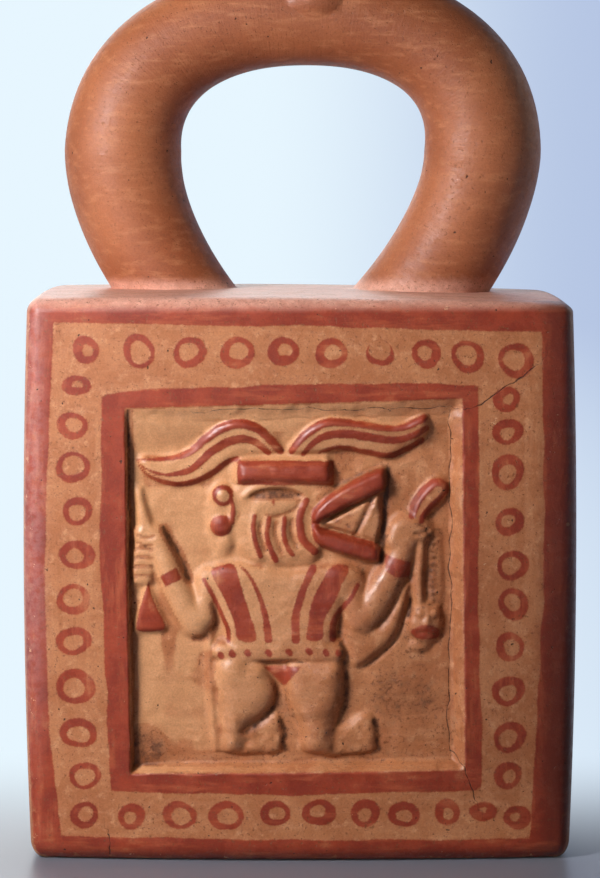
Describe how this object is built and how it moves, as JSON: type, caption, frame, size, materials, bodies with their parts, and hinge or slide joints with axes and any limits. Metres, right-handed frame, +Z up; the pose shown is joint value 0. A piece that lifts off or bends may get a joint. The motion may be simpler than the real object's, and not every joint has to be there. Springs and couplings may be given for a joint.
{
  "type": "stirrup spout vessel",
  "caption": "Fired-clay bottle with a box body, a sunken front panel holding a raised figure, painted rings, and a hollow stirrup handle with an upright spout.",
  "frame": {"origin": "centre of the underside, on the surface the vessel stands on", "axes": "+Z up through the spout, -Y out of the front panel, X across the front, +X to the right as seen from the front"},
  "size_m": [0.123, 0.0896, 0.252],
  "materials": {
    "painted_clay": "burnished cream slip with red-brown slip paint, plain orange-brown clay on the stirrup"
  },
  "bodies": {
    "root": {"vessel": "painted_clay"}
  },
  "joints": []
}
